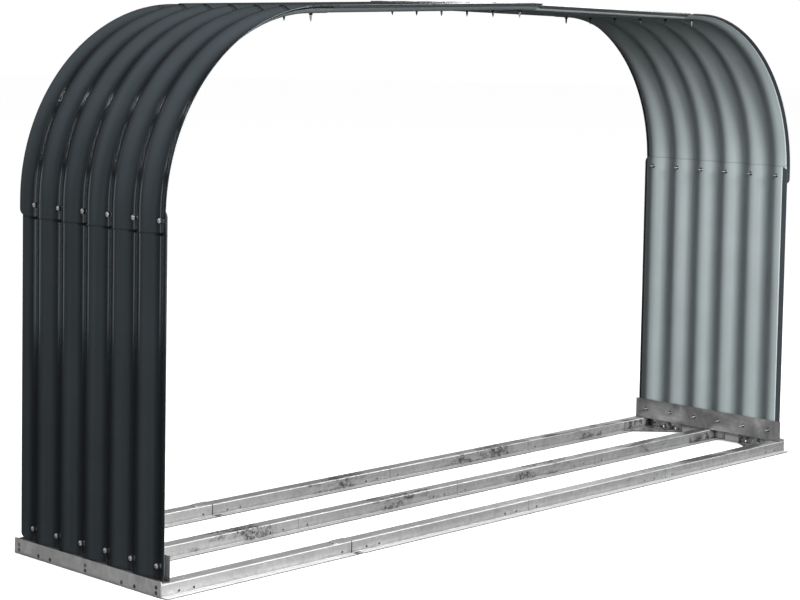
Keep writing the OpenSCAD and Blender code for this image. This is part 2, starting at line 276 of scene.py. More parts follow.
def lapShade(tree, x, y, z, isOut, finish):
    # painted shade against the lapping edges: outside under the corner panel and past the roof panel, inside
    # above the side panel
    wide = finish["grimeWide"]
    phase = times(tree, mathNode(tree, "SUBTRACT", y, lastValley), 2 * math.pi / sheet["pitch"])
    isValley = rangeNode(tree, mathNode(tree, "COSINE", phase), *finish["valleyFrom"])
    notch = times(tree, isValley, bandNode(tree, z, cornerLow.z - finish["grimeValley"], cornerLow.z))
    aside = mathNode(tree, "ABSOLUTE", x)
    outLine = larger(tree, bandNode(tree, z, cornerLow.z - wide, cornerLow.z),
                     bandNode(tree, aside, roofHigh.x, roofHigh.x + finish["grimeArch"]))
    outLine = larger(tree, outLine, times(tree, notch, finish["grimeValleyMore"]))
    inLine = bandNode(tree, z, sideHigh.z, sideHigh.z + wide)
    return larger(tree, times(tree, outLine, times(tree, isOut, finish["grimeOut"])),
                  times(tree, inLine, times(tree, inverse(tree, isOut), finish["grimeIn"])))


def coatedSheet(name, hemLow, hemHigh, finish):
    material, tree, shader, coords = newMaterial(name)
    point = coords.outputs["Object"]
    x, y, z = addNode(tree, "ShaderNodeSeparateXYZ", {0: point}).outputs
    facing = outwardNode(tree, coords, x, z)
    isOut = rangeNode(tree, facing, *finish["outFrom"])
    isEdge = mathNode(tree, "LESS_THAN", mathNode(tree, "ABSOLUTE", facing), finish["edgeUnder"])
    isHem = larger(tree, mathNode(tree, "LESS_THAN", y, hemLow), mathNode(tree, "GREATER_THAN", y, hemHigh))
    isSlate = larger(tree, isOut, isHem)

    # Slow change of tone, and faint streaks that run along the sheet
    cloud = noiseNode(tree, point, finish["toneScale"], detail=4.0)
    streak = noiseNode(tree, stretch(tree, point, finish["streakScale"]), 1.0, detail=5.0)
    tone = rangeNode(tree, times(tree, mathNode(tree, "ADD", cloud, streak), 0.5), *finish["toneFrom"])
    slate = mixColour(tree, tone, finish["outsideDark"], finish["outside"])
    backing = mixColour(tree, tone, finish["insideDark"], finish["inside"])
    # painted light: the backing coat made lighter where the finish asks for it
    backing = scaleColour(tree, backing, finish["backingTint"])
    colour = mixColour(tree, isSlate, backing, slate)
    colour = mixColour(tree, sheetDust(tree, point, z, finish), colour, finish["dust"])
    colour = mixColour(tree, isEdge, colour, finish["edge"])

    # Painted highlight beside the front hem, and painted shade in the fold next to it, on the inside only
    isIn = inverse(tree, isOut)
    rim = times(tree, bandNode(tree, y, hemLow, hemLow + finish["rimWide"]), isIn)
    colour = mixColour(tree, rim, colour, finish["rim"])
    low, high = finish["crease"]
    crease = times(tree, bandNode(tree, y, hemLow + low, hemLow + high), isIn)
    colour = mixColour(tree, times(tree, crease, finish["creaseDark"]), colour, finish["grime"])

    # painted shade along the lapping edges
    line = lapShade(tree, x, y, z, isOut, finish)
    colour = mixColour(tree, line, colour, finish["grime"])
    # painted shade in narrow gaps
    colour = scaleColour(tree, colour, gapShadeNode(tree, finish["crevice"], finish["creviceLeft"]))

    # The painted shade is rough too, because gloss would show through it
    wear = rangeNode(tree, cloud, *finish["wearFrom"], -finish["wear"], finish["wear"])
    rough = mathNode(tree, "ADD", wear, rangeNode(tree, isSlate, 0, 1, finish["matt"], finish["gloss"]))
    rough = larger(tree, rough, line)
    grain = noiseNode(tree, point, 1 / finish["grainSize"], detail=2.0)
    peel = noiseNode(tree, point, 1 / finish["peelSize"], detail=1.0)
    normal = bumpNode(tree, grain, finish["grainDepth"])
    normal = bumpNode(tree, peel, finish["peelDepth"], normal=normal)

    tree.links.new(colour, shader.inputs["Base Color"])
    tree.links.new(rough, shader.inputs["Roughness"])
    tree.links.new(normal, shader.inputs["Normal"])
    shader.inputs["Specular IOR Level"].default_value = 0.5
    return material


def camel(name):
    first, *rest = name.split("_")
    return first + "".join(word.title() for word in rest)


def dressSheets():
    # the two hems of each panel end on a step of the corrugation
    step = sheet["pitch"] / sheet["steps"]
    for name in sheetNodes:
        low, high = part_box(name)
        hemLow = round((low.y + sheet["hem"]) / step) * step
        hemHigh = round((high.y - sheet["hem"]) / step) * step
        finish = sheetFinishes.get(name, sheetFinish)
        dress([name], coatedSheet(camel(name) + "Coat", hemLow, hemHigh, finish))


dressSheets()
print("sheets finished:", len(sheetNodes))


# Galvanised strip: fine crystals, rolling lines, and smudges where hands and tools have been
zincFinish = dict(
    bright=(0.70, 0.70, 0.70, 1),
    dull=(0.50, 0.50, 0.50, 1),
    smudge=(0.16, 0.155, 0.15, 1),
    smudgeAmount=0.5,
    smudgeFrom=(0.60, 0.74),
    smudgeScale=34.0,
    smudgeRough=0.15,
    crystal=0.011,      # size of one crystal of the zinc, and its share in the tone
    crystalShare=0.42,
    cloudScale=16.0,
    rolledScale=(260.0, 4.0),  # across and along the strip
    rolledSpread=0.10,
    toneFrom=(0.20, 0.85),
    roughness=(0.30, 0.50),
    metallic=0.75,
    crevice=0.012,      # reach of the painted shade in narrow gaps, and what it leaves of the colour
    creviceLeft=0.10,
    sheen=0.06,         # painted reflection: slow change of brightness, and how many waves of it in a metre
    sheenSize=14.0,
    scratchDepth=0.00003,
    waveSize=0.028,     # slow waves of thin strip
    waveDepth=0.00035,
)

# What differs along a rail: dull flange, bright bends and lip, all painted light; dirt at the splices;
# painted shadow and painted shade
railFinish = dict(
    rowWide=0.1,                 # the middle rail lies nearer to the middle than this, the others farther off
    upFrom=(0.75, 0.97),         # how squarely flange and lip look up, and where their bends begin and end
    bendFrom=(0.20, 0.40),
    bendTo=(0.95, 0.80),
    # painted light on the flange
    flangeTint=1.08,
    webTop=1.15,                 # painted light on the web just under the flange, against its foot
    webFrom=(0.005, 0.020),
    # painted highlight on the bends
    bendTint=1.70,
    # painted light: the lip brighter than the rest, the front rail's brightest
    lip=(0.55, 0.55, 0.55, 1),
    frontLip=(0.80, 0.80, 0.80, 1),
    lipMetallic=0.3,
    lipUnder=0.0045,             # the lip lies below this height
    lipDeep=0.016,               # from the lip's edge to the web
    lastPiece=2.0,               # number of the last piece, counted from the first splice
    toneSpread=0.06,             # from piece to piece
    toneFrom=(-1.0, -0.25),      # painted light, brightest at the left end, down to near the middle
    toneLeft=1.38,
    toneRight=0.95,
    # colour of the dirt, and also of the painted shade and shadow on the base
    dirt=(0.060, 0.058, 0.056, 1),
    dirtLong=0.300,              # stretch of web beside a splice that is dirty
    dirtNear=0.80,               # where in a piece it reaches its full amount
    dirtFade=(1.0, 0.90),
    dirtAmount=0.85,
    dirtBefore=0.8,              # none right of this, nor left of dirtAfter on the back rail
    dirtAfter=-0.4,
    patchScale=(12, 40, 40),
    patchFrom=(0.56, 0.66),
    patchNear=0.13,
    speckScale=130.0,
    speckFrom=(0.44, 0.54),
    shadow=0.80,                 # how far patches of the flange darken towards the right end
    shadowScale=(9, 25, 25),
    shadowFrom=(0.42, 0.54),
    shadowReach=(0.35, 0.60),
    gap=0.0024,                  # painted shade: dark line at the first splice of the outer rails
    gapUnder=0.014,              # painted shade on the stretch of lip beside it
    butt=0.0070,                 # painted shade at the end of the middle rail at its cleat
)

# Painted shade and painted reflection of the dark sheet on the ledge that the wall sheet stands on, out to
# the sheet's edge
ledgeShade = dict(
    upFrom=(0.6, 0.9),
    endFrom=(0.222, 0.212),
    amount=0.92,
)

# Holes of an end rail, the same on both sides of its middle: distance from the middle, and height
# painted shade round each of these holes
holeShade = dict(
    places=((0.0, 0.0085), (0.0, 0.0185), (0.211, 0.0085), (0.211, 0.0185), (0.110, 0.008), (0.148, 0.008)),
    reach=0.0040,
    amount=0.80,
)

# Where the splices of the long rails lie
railPitch = (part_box("middle_rail_4")[0].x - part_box("middle_rail_2")[0].x) / 2
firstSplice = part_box("middle_rail_2")[0].x
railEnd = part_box("middle_rail_4")[1].x


def galvanised(name, along, tint, finish, detail=None):
    # along is the axis that the strip was rolled along; detail adds what only this kind of piece shows
    material, tree, shader, coords = newMaterial(name)
    point = coords.outputs["Object"]
    crystal = addNode(tree, "ShaderNodeTexVoronoi", {
        "Vector": stretch(tree, point, (1, 1, 1), (17, 23, 31)), "Scale": 1 / finish["crystal"]})
    shard = addNode(tree, "ShaderNodeSeparateXYZ", {0: crystal.outputs["Color"]}).outputs[0]
    cloud = noiseNode(tree, point, finish["cloudScale"], detail=5.0, roughness=0.6, distortion=0.4)
    scale = [finish["rolledScale"][0]] * 3
    scale[along] = finish["rolledScale"][1]
    rolled = noiseNode(tree, stretch(tree, point, scale), 1.0, detail=3.0)

    share, spread = finish["crystalShare"], finish["rolledSpread"]
    tone = mathNode(tree, "ADD", times(tree, shard, share), times(tree, cloud, 1 - share))
    tone = mathNode(tree, "ADD", tone, rangeNode(tree, rolled, 0.3, 0.7, -spread, spread))
    tone = rangeNode(tree, tone, *finish["toneFrom"])
    dull, bright = [tuple(c * t for c, t in zip(finish[key], tint)) + (1,) for key in ("dull", "bright")]
    colour = mixColour(tree, tone, dull, bright)
    mark = noiseNode(tree, point, finish["smudgeScale"], detail=6.0, roughness=0.7)
    mark = rangeNode(tree, mark, *finish["smudgeFrom"], 0.0, finish["smudgeAmount"])
    colour = mixColour(tree, mark, colour, finish["smudge"])
    # painted reflection: slow patches of brightness over the strip
    sheen = noiseNode(tree, point, finish["sheenSize"], detail=2.0, distortion=1.2)
    sheen = rangeNode(tree, sheen, 0.35, 0.65, 1 - finish["sheen"], 1 + finish["sheen"])
    colour = scaleColour(tree, colour, sheen)
    if detail:
        colour = detail(tree, coords, shader, colour)
    # painted shade in narrow gaps
    colour = scaleColour(tree, colour, gapShadeNode(tree, finish["crevice"], finish["creviceLeft"]))

    low, high = finish["roughness"]
    rough = rangeNode(tree, tone, 0, 1, high, low)
    rough = mathNode(tree, "ADD", rough, times(tree, mark, finish["smudgeRough"]))
    wave = noiseNode(tree, point, 1 / finish["waveSize"], detail=1.0)
    normal = bumpNode(tree, rolled, finish["scratchDepth"])
    normal = bumpNode(tree, wave, finish["waveDepth"], normal=normal)

    tree.links.new(colour, shader.inputs["Base Color"])
    tree.links.new(rough, shader.inputs["Roughness"])
    tree.links.new(normal, shader.inputs["Normal"])
    shader.inputs["Metallic"].default_value = finish["metallic"]
    return material


def endRailDetail(tree, coords, shader, colour):
    colour = underSheet(tree, coords, colour)
    return shadeRoundHoles(tree, coords, colour)


def underSheet(tree, coords, colour):
    # painted shade and painted reflection of the dark sheet on the ledge, where the sheet stands over it
    y = addNode(tree, "ShaderNodeSeparateXYZ", {0: coords.outputs["Object"]}).outputs[1]
    up = addNode(tree, "ShaderNodeSeparateXYZ", {0: coords.outputs["Normal"]}).outputs[2]
    mask = times(tree, rangeNode(tree, up, *ledgeShade["upFrom"]),
                 rangeNode(tree, mathNode(tree, "ABSOLUTE", y), *ledgeShade["endFrom"]))
    return mixColour(tree, times(tree, mask, ledgeShade["amount"]), colour, railFinish["dirt"])


def shadeRoundHoles(tree, coords, colour):
    # painted shade: dark rims round the open holes in an end rail's web
    x, y, z = addNode(tree, "ShaderNodeSeparateXYZ", {0: coords.outputs["Object"]}).outputs
    flat = addNode(tree, "ShaderNodeCombineXYZ", {0: mathNode(tree, "ABSOLUTE", y), 1: z}).outputs[0]
    nearest = 1.0
    for place in holeShade["places"]:
        away = addNode(tree, "ShaderNodeVectorMath", {0: flat, 1: (*place, 0)}, operation="DISTANCE")
        nearest = smaller(tree, away.outputs["Value"], nearest)
    rim = times(tree, mathNode(tree, "LESS_THAN", nearest, holeShade["reach"]), holeShade["amount"])
    return mixColour(tree, rim, colour, railFinish["dirt"])


def screwDetail(tree, coords, shader, colour):
    # the part of a screw inside the arch: a dark burr, then plain steel
    x, y, z = addNode(tree, "ShaderNodeSeparateXYZ", {0: coords.outputs["Object"]}).outputs
    aside = mathNode(tree, "ABSOLUTE", x)
    run = larger(tree, mathNode(tree, "SUBTRACT", aside, curveX), 0.0)
    rise = larger(tree, mathNode(tree, "SUBTRACT", z, springZ), 0.0)
    ridge = times(tree, larger(tree, mathNode(tree, "SUBTRACT", curveX, aside), 0.0), math.tan(slope))
    away = mathNode(tree, "SQRT", mathNode(tree, "ADD", mathNode(tree, "POWER", run, 2.0),
                                           mathNode(tree, "POWER", rise, 2.0)))
    deep = mathNode(tree, "SUBTRACT", sheet["cornerRadius"], mathNode(tree, "SUBTRACT", away, ridge))
    tip = mixColour(tree, mathNode(tree, "LESS_THAN", deep, tipFinish["burrDeep"]), tipFinish["steel"],
                    tipFinish["burr"])
    # painted light: the head lighter where it faces out, darker towards its rim
    facing = facingNode(tree, coords, times(tree, run, mathNode(tree, "SIGN", x)), rise)
    crown = rangeNode(tree, facing, *tipFinish["crownFrom"], tipFinish["rimDark"], tipFinish["crownLight"])
    colour = scaleColour(tree, colour, crown)
    return mixColour(tree, mathNode(tree, "GREATER_THAN", deep, 0.0), colour, tip)


def railDetail(tree, coords, shader, colour):
    x, y, z = addNode(tree, "ShaderNodeSeparateXYZ", {0: coords.outputs["Object"]}).outputs
    facing = addNode(tree, "ShaderNodeSeparateXYZ", {0: coords.outputs["Normal"]}).outputs[2]
    up = rangeNode(tree, facing, *railFinish["upFrom"])
    isLow = mathNode(tree, "LESS_THAN", z, railFinish["lipUnder"])
    isLip = times(tree, up, isLow)
    isFlange = times(tree, up, inverse(tree, isLow))
    isBend = times(tree, rangeNode(tree, facing, *railFinish["bendFrom"]),
                   rangeNode(tree, facing, *railFinish["bendTo"]))
    along = mathNode(tree, "DIVIDE", mathNode(tree, "SUBTRACT", x, firstSplice), railPitch)
    piece = smaller(tree, mathNode(tree, "FLOOR", along), railFinish["lastPiece"])

    colour = scaleColour(tree, colour, railToneAndLight(tree, x, y, z, piece, isFlange, isBend))
    within = mathNode(tree, "SUBTRACT", along, piece)
    colour = mixColour(tree, spliceDirt(tree, coords, x, y, within), colour, railFinish["dirt"])
    colour = mixColour(tree, flangeShadow(tree, coords, x, isFlange), colour, railFinish["dirt"])
    # painted light on the lips, brightest on the front rail
    isFront = mathNode(tree, "LESS_THAN", y, -railFinish["rowWide"])
    lip = mixColour(tree, isFront, railFinish["lip"], railFinish["frontLip"])
    colour = mixColour(tree, isLip, colour, lip)
    metallic = rangeNode(tree, isLip, 0, 1, zincFinish["metallic"], railFinish["lipMetallic"])
    tree.links.new(metallic, shader.inputs["Metallic"])
    return mixColour(tree, paintedGapShade(tree, x, y, up, isLip), colour, railFinish["dirt"])


def railToneAndLight(tree, x, y, z, piece, isFlange, isBend):
    # each piece has its own tone; its web, flange and bends, and its left end, get painted light
    row = mathNode(tree, "FLOOR", mathNode(tree, "DIVIDE", y, railFinish["rowWide"]))
    lot = addNode(tree, "ShaderNodeCombineXYZ", {0: piece, 1: row}).outputs[0]
    lot = addNode(tree, "ShaderNodeTexWhiteNoise", {"Vector": lot}, noise_dimensions="3D").outputs["Value"]
    spread = railFinish["toneSpread"]
    tone = rangeNode(tree, lot, 0, 1, 1 - spread, 1 + spread)
    for part in (rangeNode(tree, x, *railFinish["toneFrom"], railFinish["toneLeft"], railFinish["toneRight"]),
                 rangeNode(tree, isFlange, 0, 1, 1.0, railFinish["flangeTint"]),
                 rangeNode(tree, z, *railFinish["webFrom"], 1.0, railFinish["webTop"]),
                 rangeNode(tree, isBend, 0, 1, 1.0, railFinish["bendTint"])):
        tone = times(tree, tone, part)
    return tone


def spliceDirt(tree, coords, x, y, within):
    # dirt gathers to the left of a splice, in patches drawn out along the rail
    point = coords.outputs["Object"]
    near = rangeNode(tree, within, 1 - railFinish["dirtLong"] / railPitch, railFinish["dirtNear"])
    patch = noiseNode(tree, stretch(tree, point, railFinish["patchScale"]), 1.0, detail=2.0)
    patch = mathNode(tree, "ADD", patch, times(tree, near, railFinish["patchNear"]))
    patch = rangeNode(tree, patch, *railFinish["patchFrom"])
    speck = noiseNode(tree, point, railFinish["speckScale"], detail=6.0, roughness=0.8)
    patch = times(tree, patch, rangeNode(tree, speck, *railFinish["speckFrom"]))
    fade = times(tree, rangeNode(tree, near, 0.0, 0.4), rangeNode(tree, within, *railFinish["dirtFade"]))
    place = times(tree, mathNode(tree, "GREATER_THAN", y, -railFinish["rowWide"]),
                  mathNode(tree, "LESS_THAN", x, railFinish["dirtBefore"]))
    first = times(tree, mathNode(tree, "GREATER_THAN", y, railFinish["rowWide"]),
                  mathNode(tree, "LESS_THAN", x, railFinish["dirtAfter"]))
    place = times(tree, place, inverse(tree, first))
    return times(tree, times(tree, patch, times(tree, fade, place)), railFinish["dirtAmount"])


def flangeShadow(tree, coords, x, isFlange):
    point = stretch(tree, coords.outputs["Object"], railFinish["shadowScale"])
    cast = noiseNode(tree, point, 1.0, detail=2.0)
    cast = rangeNode(tree, cast, *railFinish["shadowFrom"])
    cast = times(tree, cast, times(tree, isFlange, rangeNode(tree, x, *railFinish["shadowReach"])))
    return times(tree, cast, railFinish["shadow"])


def paintedGapShade(tree, x, y, up, isLip):
    # painted shade in the gaps at the first splice of the outer rails, and at the right end of the middle one
    isOuter = mathNode(tree, "GREATER_THAN", mathNode(tree, "ABSOLUTE", y), railFinish["rowWide"])
    gap = times(tree, bandNode(tree, x, firstSplice - railFinish["gap"], firstSplice), inverse(tree, up))
    lipGapShade = times(tree, bandNode(tree, x, firstSplice, firstSplice + railFinish["gapUnder"]), isLip)
    gap = times(tree, isOuter, larger(tree, gap, lipGapShade))
    butt = times(tree, mathNode(tree, "GREATER_THAN", x, railEnd - railFinish["butt"]), inverse(tree, up))
    return larger(tree, gap, times(tree, butt, inverse(tree, isOuter)))


alongX, alongY = 0, 1
endFinish = dict(zincFinish, dull=(0.62, 0.62, 0.62, 1), metallic=0.12, smudgeAmount=0.35, sheen=0.14)
plateFinish = dict(zincFinish, metallic=0.80, crystal=0.018, waveSize=0.09, waveDepth=0.0022, sheen=0.42,
                   sheenSize=11.0)
bracketFinish = dict(zincFinish, smudge=(0.050, 0.050, 0.050, 1), smudgeAmount=0.85, smudgeFrom=(0.50, 0.57),
                     sheen=0.30, sheenSize=30.0)
dress(railNodes, galvanised("galvanisedRail", alongX, (1.05, 1.05, 1.05), zincFinish, railDetail))
dress(endNodes, galvanised("galvanisedEndRail", alongY, (1.26, 1.25, 1.24), endFinish, endRailDetail))
dress(plateNodes, galvanised("galvanisedFootPlate", alongY, (0.80, 0.775, 0.77), plateFinish))
dress(bracketNodes, galvanised("galvanisedBracket", alongY, (0.94, 0.94, 0.94), bracketFinish))
print("base finished:", len(railNodes + endNodes + plateNodes + bracketNodes))


# Self-tapping screws with domed heads, one in every valley at each seam and foot plate
screw = dict(
    headWide=0.0106,
    headTall=0.0042,
    crown=0.86,         # how far the dome closes in at the top, and how late it does so
    crownCurve=2.6,
    slotLong=0.0050,    # the driver's cross
    slotWide=0.0011,
    slotDeep=0.0016,
    slotLift=0.4,       # share of its depth by which the cutter stays under the top
    shankWide=0.0042,
    length=0.0175,      # under the head, to the tip
    taper=0.0060,       # length of the point, and what is left of the shank's width at its end
    tipWide=0.06,
    threadPitch=0.0017,
    threadWide=0.0005,
    burrWide=0.0100,    # sheet pushed up round the screw where it comes through
    burrTall=0.0040,
    burrStart=0.0016,   # under the head, to the inner face of the sheets
    sharpFrom=38.0,     # edges bent by more than this stay sharp
    seed=11,
)

screwFinish = dict(zincFinish, dull=(0.64, 0.65, 0.66, 1), metallic=0.25, roughness=(0.14, 0.20),
                   smudgeAmount=0.1, crystal=0.004)
tipFinish = dict(
    steel=(0.30, 0.30, 0.31, 1),
    burr=(0.030, 0.032, 0.034, 1),
    burrDeep=0.0045,    # under the inner face
    rimDark=0.60,       # painted shade: what is left of the head's brightness at its rim
    # painted highlight on the top of the head
    crownLight=1.55,
    crownFrom=(0.05, 0.45),
)


def screwPlaces():
    # (place, outward direction) of each screw, at the outer face of the outermost sheet
    valleys = [lastValley - i * sheet["pitch"] for i in range(sheet["flutes"])]
    outer = wallX + sheet["thickness"]
    cornerFace = cornerHigh.x - sheet["depth"]
    roofSeamX = (cornerLow.x + roofHigh.x) / 2
    roofSeamZ = roofLow.z + sheet["thickness"] + (roofHigh.x - roofSeamX) * math.tan(slope)
    ridgeZ = roofHigh.z - sheet["depth"]
    plateZ = (plateLow.z + plateHigh.z) / 2
    places = []
    for y in valleys:
        places.append((Vector((0, y, ridgeZ)), Vector((0, 0, 1))))
        for side in (1, -1):
            flat = Vector((side, 0, 0))
            sloped = Vector((side * math.sin(slope), 0, math.cos(slope)))
            places.append((Vector((side * outer, y, plateZ)), flat))
            places.append((Vector((side * cornerFace, y, seamZ)), flat))
            places.append((Vector((side * roofSeamX, y, roofSeamZ)), sloped))
    return places


def screwTree():
    tree = bpy.data.node_groups.new("screwOnPoint", "GeometryNodeTree")
    face = tree.interface
    face.new_socket("Geometry", in_out="INPUT", socket_type="NodeSocketGeometry")
    face.new_socket("Geometry", in_out="OUTPUT", socket_type="NodeSocketGeometry")
    for label in screw:
        if label != "seed":
            face.new_socket(label, in_out="INPUT", socket_type="NodeSocketFloat")
    face.new_socket("seed", in_out="INPUT", socket_type="NodeSocketInt")
    face.new_socket("finish", in_out="INPUT", socket_type="NodeSocketMaterial")
    given = tree.nodes.new("NodeGroupInput").outputs

    def half(value):
        return times(tree, value, 0.5)

    def combine(x=0.0, y=0.0, z=0.0):
        return addNode(tree, "ShaderNodeCombineXYZ", {0: x, 1: y, 2: z}).outputs[0]

    def squeeze(geometry, factor):
        # moves each point towards the screw's axis
        scale = combine(factor, factor, 1.0)
        place = addNode(tree, "ShaderNodeVectorMath",
                        {0: tree.nodes.new("GeometryNodeInputPosition").outputs[0], 1: scale},
                        operation="MULTIPLY").outputs[0]
        return addNode(tree, "GeometryNodeSetPosition",
                       {"Geometry": geometry, "Position": place}).outputs[0]

    def height():
        return addNode(tree, "ShaderNodeSeparateXYZ",
                       {0: tree.nodes.new("GeometryNodeInputPosition").outputs[0]}).outputs[2]

    # Head: a short cylinder whose rings close in towards the top
    barrel = addNode(tree, "GeometryNodeMeshCylinder", {
        "Vertices": 28, "Side Segments": 6, "Radius": half(given["headWide"]), "Depth": given["headTall"]})
    barrel = addNode(tree, "GeometryNodeTransform", {
        "Geometry": barrel.outputs["Mesh"], "Translation": combine(z=half(given["headTall"]))})
    level = mathNode(tree, "DIVIDE", height(), given["headTall"])
    closed = times(tree, mathNode(tree, "POWER", level, given["crownCurve"]), given["crown"])
    dome = squeeze(barrel.outputs[0], mathNode(tree, "SQRT", inverse(tree, closed)))

    # The driver's cross, cut into the head
    cutters = []
    for size in (combine(given["slotLong"], given["slotWide"], given["slotDeep"]),
                 combine(given["slotWide"], given["slotLong"], given["slotDeep"])):
        block = addNode(tree, "GeometryNodeMeshCube", {"Size": size})
        lift = times(tree, given["slotDeep"], given["slotLift"])
        lift = mathNode(tree, "SUBTRACT", given["headTall"], lift)
        cutters.append(addNode(tree, "GeometryNodeTransform", {
            "Geometry": block.outputs[0], "Translation": combine(z=lift)}).outputs[0])
    cut = tree.nodes.new("GeometryNodeMeshBoolean")
    cut.operation = "DIFFERENCE"
    tree.links.new(dome, cut.inputs[0])
    for cutter in cutters:
        tree.links.new(cutter, cut.inputs[1])
    head = cut.outputs[0]

    # Shank and thread, both drawn in to a point at the tip
    reach = times(tree, given["length"], -0.5)
    shank = addNode(tree, "GeometryNodeMeshCylinder", {
        "Vertices": 16, "Side Segments": 14, "Radius": half(given["shankWide"]), "Depth": given["length"]})
    shank = addNode(tree, "GeometryNodeTransform", {
        "Geometry": shank.outputs["Mesh"], "Translation": combine(z=reach)}).outputs[0]
    turns = mathNode(tree, "DIVIDE", given["length"], given["threadPitch"])
    helix = addNode(tree, "GeometryNodeCurveSpiral", {
        "Resolution": 16, "Rotations": turns, "Start Radius": half(given["shankWide"]),
        "End Radius": half(given["shankWide"]), "Height": given["length"]})
    helix = addNode(tree, "GeometryNodeTransform", {
        "Geometry": helix.outputs[0],
        "Translation": combine(z=times(tree, given["length"], -1.0))}).outputs[0]
    left = mathNode(tree, "ADD", height(), given["length"])
    point = mathNode(tree, "DIVIDE", left, given["taper"])
    narrowed = smaller(tree, larger(tree, point, given["tipWide"]), 1.0)
    shank = squeeze(shank, narrowed)
    helix = squeeze(helix, narrowed)
    ridge = addNode(tree, "GeometryNodeCurvePrimitiveCircle", {
        "Resolution": 4, "Radius": given["threadWide"]})
    thread = addNode(tree, "GeometryNodeCurveToMesh", {
        "Curve": helix, "Profile Curve": ridge.outputs[0], "Fill Caps": True}).outputs[0]

    # The burr, a short cone that narrows to the shank
    burr = addNode(tree, "GeometryNodeMeshCone", {
        "Vertices": 20, "Side Segments": 2, "Radius Top": half(given["burrWide"]),
        "Radius Bottom": half(given["shankWide"]), "Depth": given["burrTall"]}).outputs["Mesh"]
    drop = times(tree, mathNode(tree, "ADD", given["burrStart"], given["burrTall"]), -1.0)
    burr = addNode(tree, "GeometryNodeTransform", {
        "Geometry": burr, "Translation": combine(z=drop)}).outputs[0]

    whole = tree.nodes.new("GeometryNodeJoinGeometry")
    for part in (head, shank, thread, burr):
        tree.links.new(part, whole.inputs[0])
    smooth = addNode(tree, "GeometryNodeSetShadeSmooth", {
        "Geometry": whole.outputs[0], "Shade Smooth": True})
    bend = tree.nodes.new("GeometryNodeInputMeshEdgeAngle").outputs[0]
    sharp = mathNode(tree, "GREATER_THAN", bend, mathNode(tree, "RADIANS", given["sharpFrom"]))
    smooth = addNode(tree, "GeometryNodeSetShadeSmooth", {
        "Geometry": smooth.outputs[0], "Selection": sharp, "Shade Smooth": False}, domain="EDGE")

    # One on every point, its head outwards, turned at random about its own axis
    outward = addNode(tree, "GeometryNodeInputNamedAttribute", {"Name": "outward"},
                      data_type="FLOAT_VECTOR")
    turn = addNode(tree, "FunctionNodeAlignRotationToVector", {"Vector": outward.outputs[0]}, axis="Z")
    spin = addNode(tree, "FunctionNodeRandomValue", data_type="FLOAT")
    spin.inputs[2].default_value, spin.inputs[3].default_value = 0.0, deg(360)
    tree.links.new(given["seed"], spin.inputs["Seed"])
    twist = addNode(tree, "FunctionNodeAxisAngleToRotation", {"Axis": (0, 0, 1), "Angle": spin.outputs[1]})
    turned = addNode(tree, "FunctionNodeRotateRotation", {
        "Rotation": turn.outputs[0], "Rotate By": twist.outputs[0]}, rotation_space="LOCAL")
    placed = addNode(tree, "GeometryNodeInstanceOnPoints", {
        "Points": given["Geometry"], "Instance": smooth.outputs[0], "Rotation": turned.outputs[0]})
    real = addNode(tree, "GeometryNodeRealizeInstances", {"Geometry": placed.outputs[0]})
    finished = addNode(tree, "GeometryNodeSetMaterial", {
        "Geometry": real.outputs[0], "Material": given["finish"]})
    out = tree.nodes.new("NodeGroupOutput")
    tree.links.new(finished.outputs[0], out.inputs[0])
    return tree


def bakeNodes(name, mesh, tree, values):
    # runs the tree on mesh once and keeps the result as a plain mesh at the origin
    source = bpy.data.objects.new(name + "Source", mesh)
    bpy.context.scene.collection.objects.link(source)
    modifier = source.modifiers.new(name, "NODES")
    modifier.node_group = tree
    for item in tree.interface.items_tree:
        if item.in_out == "INPUT" and item.name in values:
            modifier[item.identifier] = values[item.name]
    graph = bpy.context.evaluated_depsgraph_get()
    baked = bpy.data.meshes.new_from_object(source.evaluated_get(graph))
    source.modifiers.clear()
    bpy.data.objects.remove(source)
    baked.name = name
    made = bpy.data.objects.new(name, baked)
    bpy.context.scene.collection.objects.link(made)
    return made


def makeScrews():
    places = screwPlaces()
    points = bpy.data.meshes.new("screwPlaces")
    points.from_pydata([place for place, direction in places], [], [])
    outward = points.attributes.new("outward", "FLOAT_VECTOR", "POINT")
    for i, (place, direction) in enumerate(places):
        outward.data[i].vector = direction
    finish = galvanised("screwZinc", alongX, (1.20, 1.20, 1.20), screwFinish, screwDetail)
    made = bakeNodes("seamScrews", points, screwTree(), {**screw, "finish": finish})
    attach(made, "root")
    return len(places)


print("screws placed:", makeScrews())


# Floor, light and camera
studio = dict(
    floorSize=60.0,
    floorGlow=0.95,
    floorColour=(0.86, 0.86, 0.86, 1),
    domeShare=0.98,     # the backdrop stays just inside the floor's edge
    contact=0.06,       # reach of the painted contact shadow next to the base
    contactFrom=(0.15, 0.75),
    shade=0.10,         # what the painted shadow behind the rails leaves of the floor's brightness
    shadeDeep=0.050,    # full shade behind a rail, and where it ends
    shadeEnd=0.078,
    shadeSlant=1.4,     # how far the shade inside the left end leans backwards
    skyLight=0.040,
    cardColour=(0.84, 0.93, 1.0),
    aimHeight=0.55,     # the lights point at this height over the middle of the base
)


def glow(name, colour, strength):
    material = bpy.data.materials.new(name)
    material.use_nodes = True
    tree = material.node_tree
    shader = tree.nodes["Principled BSDF"]
    shader.inputs["Base Color"].default_value = colour
    shader.inputs["Roughness"].default_value = 0.9
    shader.inputs["Specular IOR Level"].default_value = 0.0
    shader.inputs["Emission Color"].default_value = (1, 1, 1, 1)
    shader.inputs["Emission Strength"].default_value = strength
    return material


